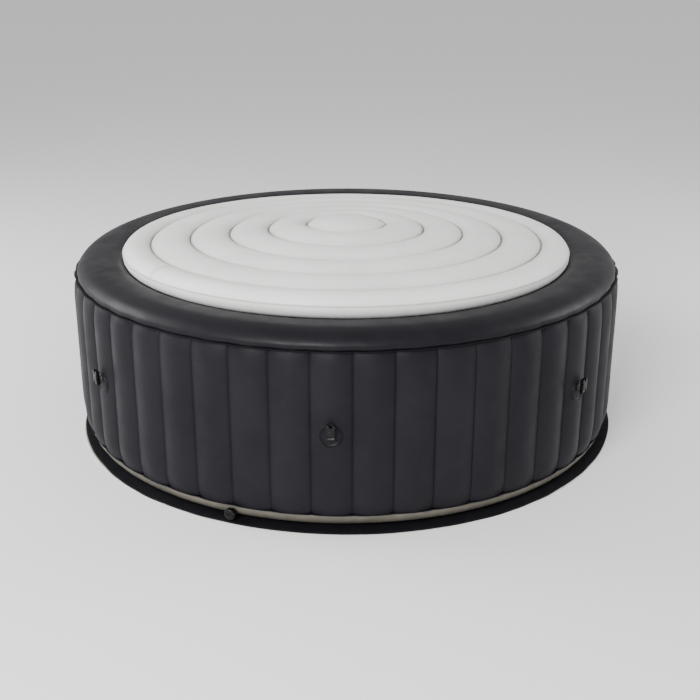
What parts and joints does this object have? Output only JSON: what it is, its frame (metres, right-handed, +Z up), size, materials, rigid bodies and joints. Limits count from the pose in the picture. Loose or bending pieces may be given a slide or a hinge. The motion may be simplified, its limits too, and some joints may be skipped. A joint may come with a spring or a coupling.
{
  "type": "inflatable hot tub",
  "caption": "Round ribbed inflatable hot tub with a ringed air-filled lid, ground mat, strap buckles, drain and a built-in heater, pump and blower unit.",
  "frame": {"origin": "on the ground at the centre of the footprint", "axes": "+Z up; -Y is the front, opposite the control unit; +X to the right seen from the front"},
  "size_m": [2.056, 2.086, 0.7779],
  "materials": {
    "wall_vinyl": "satin PVC sheet laminated over polyester scrim",
    "rim_vinyl": "satin PVC sheet, finely embossed",
    "base_vinyl": "matt beige PVC sheet",
    "liner_vinyl": "satin grey PVC liner",
    "lid_vinyl": "satin off-white PVC film",
    "mat_foam": "matt black closed-cell foam mat",
    "mat_foil": "silver foil facing",
    "weld_tape": "dark weld flange",
    "webbing": "woven webbing",
    "black_plastic": "moulded acetal",
    "unit_plastic": "moulded ABS, fine spark texture",
    "panel_plastic": "gloss panel and lens",
    "button_rubber": "soft-touch rubber",
    "metal_tube": "brushed stainless tube",
    "filter_paper": "pleated polyester filter paper",
    "board": "solder-resist green board"
  },
  "bodies": {
    "tub": {"mat_foil": "mat_foil", "ground_mat": "mat_foam", "bottom_sheet": "base_vinyl", "base_ring": "base_vinyl", "base_weld": "weld_tape", "outer_wall": "wall_vinyl", "top_weld": "weld_tape", "top_ring": "rim_vinyl", "inner_wall": "liner_vinyl", "brace_webs": "liner_vinyl", "floor_pad": "liner_vinyl", "bubble_channel": "liner_vinyl", "drain_socket": "black_plastic", "air_valve_body": "black_plastic", "unit_pocket": "wall_vinyl", "unit_housing": "unit_plastic", "unit_cover": "unit_plastic", "control_panel": "panel_plastic", "display_lens": "panel_plastic", "power_gland": "black_plastic", "pump_casing": "unit_plastic", "heater_tube": "metal_tube", "blower_housing": "unit_plastic", "circuit_board": "board", "filter_housing": "unit_plastic", "return_nozzle": "unit_plastic", "air_duct": "liner_vinyl", "buckle_patch_1": "rim_vinyl", "buckle_strap_1": "webbing", "buckle_patch_2": "rim_vinyl", "buckle_strap_2": "webbing", "buckle_patch_3": "rim_vinyl", "buckle_strap_3": "webbing", "buckle_patch_4": "rim_vinyl", "buckle_strap_4": "webbing", "buckle_patch_5": "rim_vinyl", "buckle_strap_5": "webbing", "buckle_patch_6": "rim_vinyl", "buckle_strap_6": "webbing", "buckle_patch_7": "rim_vinyl", "buckle_strap_7": "webbing"},
    "lid": {"lid": "lid_vinyl", "lid_valve_body": "lid_vinyl"},
    "lid_cap": {"lid_valve_cap": "lid_vinyl"},
    "drain_cap": {"drain_cap": "black_plastic"},
    "drain_plug": {"drain_plug": "black_plastic"},
    "air_cap": {"air_valve_cap": "black_plastic"},
    "impeller": {"pump_impeller": "black_plastic"},
    "fan": {"blower_fan": "black_plastic"},
    "filter": {"filter_cartridge": "filter_paper"},
    "button_1": {"panel_button_1": "button_rubber"},
    "button_2": {"panel_button_2": "button_rubber"},
    "button_3": {"panel_button_3": "button_rubber"},
    "buckle_1": {"buckle_1": "black_plastic"},
    "buckle_2": {"buckle_2": "black_plastic"},
    "buckle_3": {"buckle_3": "black_plastic"},
    "buckle_4": {"buckle_4": "black_plastic"},
    "buckle_5": {"buckle_5": "black_plastic"},
    "buckle_6": {"buckle_6": "black_plastic"},
    "buckle_7": {"buckle_7": "black_plastic"}
  },
  "joints": [
    {"name": "lid_lift", "type": "slide", "parent": "tub", "child": "lid", "axis": [0, 0, 1], "range_m": [0, 0.3]},
    {"name": "lid_cap_pull", "type": "slide", "parent": "lid", "child": "lid_cap", "axis": [0, -0.0332, -0.9995], "range_m": [0, 0.03]},
    {"name": "drain_cap_turn", "type": "hinge", "parent": "tub", "child": "drain_cap", "pos_m": [-0.33045, -0.9597, 0.03], "axis": [-0.3256, -0.9455, 0], "range_deg": [0, 540]},
    {"name": "drain_plug_pull", "type": "slide", "parent": "tub", "child": "drain_plug", "axis": [0.3256, 0.9455, 0], "range_m": [0, 0.02]},
    {"name": "air_cap_turn", "type": "hinge", "parent": "tub", "child": "air_cap", "pos_m": [0.71913, 0.71913, 0.44], "axis": [0.7071, 0.7071, 0], "range_deg": [0, 90]},
    {"name": "impeller_spin", "type": "hinge", "parent": "tub", "child": "impeller", "pos_m": [-0.09, 0.915, 0.23], "axis": [1, 0, 0], "continuous": true},
    {"name": "fan_spin", "type": "hinge", "parent": "tub", "child": "fan", "pos_m": [0.092, 0.915, 0.2], "axis": [0, 1, 0], "continuous": true},
    {"name": "filter_lift", "type": "slide", "parent": "tub", "child": "filter", "axis": [0, 0, 1], "range_m": [0, 0.16]},
    {"name": "button_1_press", "type": "slide", "parent": "tub", "child": "button_1", "axis": [0, -1, 0], "range_m": [0, 0.0015], "stiffness_N_per_m": 900, "springref_m": -0.0008},
    {"name": "button_2_press", "type": "slide", "parent": "tub", "child": "button_2", "axis": [0, -1, 0], "range_m": [0, 0.0015], "stiffness_N_per_m": 900, "springref_m": -0.0008},
    {"name": "button_3_press", "type": "slide", "parent": "tub", "child": "button_3", "axis": [0, -1, 0], "range_m": [0, 0.0015], "stiffness_N_per_m": 900, "springref_m": -0.0008},
    {"name": "buckle_1_swing", "type": "hinge", "parent": "tub", "child": "buckle_1", "pos_m": [-0.39665, 0.9576, 0.342], "axis": [-0.9239, -0.3827, 0], "range_deg": [0, 150], "stiffness_Nm_per_rad": 0.01},
    {"name": "buckle_2_swing", "type": "hinge", "parent": "tub", "child": "buckle_2", "pos_m": [-1.00118, 0.26827, 0.342], "axis": [-0.2588, -0.9659, 0], "range_deg": [0, 150], "stiffness_Nm_per_rad": 0.01},
    {"name": "buckle_3_swing", "type": "hinge", "parent": "tub", "child": "buckle_3", "pos_m": [-0.82231, -0.63098, 0.342], "axis": [0.6088, -0.7934, 0], "range_deg": [0, 150], "stiffness_Nm_per_rad": 0.01},
    {"name": "buckle_4_swing", "type": "hinge", "parent": "tub", "child": "buckle_4", "pos_m": [0, -1.0365, 0.342], "axis": [1, 0, 0], "range_deg": [0, 150], "stiffness_Nm_per_rad": 0.01},
    {"name": "buckle_5_swing", "type": "hinge", "parent": "tub", "child": "buckle_5", "pos_m": [0.82231, -0.63098, 0.342], "axis": [0.6088, 0.7934, 0], "range_deg": [0, 150], "stiffness_Nm_per_rad": 0.01},
    {"name": "buckle_6_swing", "type": "hinge", "parent": "tub", "child": "buckle_6", "pos_m": [1.00118, 0.26827, 0.342], "axis": [-0.2588, 0.9659, 0], "range_deg": [0, 150], "stiffness_Nm_per_rad": 0.01},
    {"name": "buckle_7_swing", "type": "hinge", "parent": "tub", "child": "buckle_7", "pos_m": [0.39665, 0.9576, 0.342], "axis": [-0.9239, 0.3827, 0], "range_deg": [0, 150], "stiffness_Nm_per_rad": 0.01}
  ]
}
